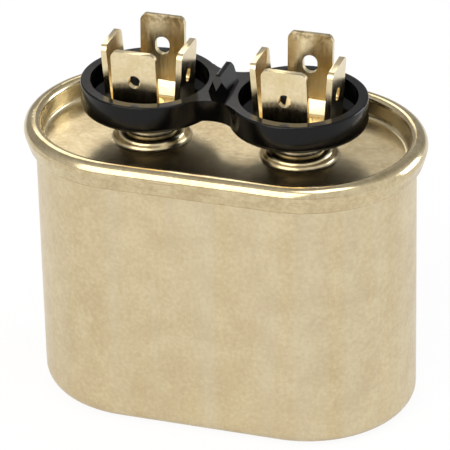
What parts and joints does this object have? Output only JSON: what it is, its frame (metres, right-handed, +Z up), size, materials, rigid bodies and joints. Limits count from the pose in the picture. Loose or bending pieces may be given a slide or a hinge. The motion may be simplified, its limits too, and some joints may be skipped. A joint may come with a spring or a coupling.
{
  "type": "oval motor run capacitor",
  "caption": "Oval metal-can motor run capacitor with a seamed lid and two four-blade quick-connect terminals in a black plastic guard.",
  "frame": {"origin": "middle of the base of the can", "axes": "+X along the long side of the oval, towards the right terminal; +Y to the rear, across it; +Z up through the terminals"},
  "size_m": [0.0564, 0.033, 0.0529],
  "materials": {
    "can_aluminium": "satin drawn metal with faint drawing lines and light scuffs",
    "lid_aluminium": "satin pressed metal",
    "sealing_compound": "matte",
    "black_plastic": "glossy moulded",
    "tinned_brass": "tin-plated brass, bright with a warm tone",
    "rivet_metal": "tin-plated",
    "ferrule_metal": "satin turned metal",
    "white_plastic": "matte natural moulding",
    "gasket_rubber": "matte",
    "tag_brass": "plain",
    "sprayed_zinc": "rough sprayed zinc",
    "metallised_film": "glossy metallised film",
    "insulating_sheet": "matte translucent sheet",
    "tinned_wire": "tinned copper"
  },
  "bodies": {
    "root": {"can": "can_aluminium", "lid": "lid_aluminium", "seam_sealant": "sealing_compound", "terminal_guard": "black_plastic", "left_terminal": "tinned_brass", "right_terminal": "tinned_brass", "left_rivet": "rivet_metal", "right_rivet": "rivet_metal", "left_ferrule": "ferrule_metal", "right_ferrule": "ferrule_metal", "left_bushing": "white_plastic", "right_bushing": "white_plastic", "left_gasket": "gasket_rubber", "right_gasket": "gasket_rubber", "left_contact_tag": "tag_brass", "right_contact_tag": "tag_brass", "disconnect_plate": "white_plastic", "upper_end_contact": "sprayed_zinc", "lower_end_contact": "sprayed_zinc", "film_winding": "metallised_film", "winding_core": "white_plastic", "winding_wrap": "insulating_sheet", "base_cup": "white_plastic", "short_lead": "tinned_wire", "long_lead": "tinned_wire", "lead_sleeve": "insulating_sheet"}
  },
  "joints": []
}
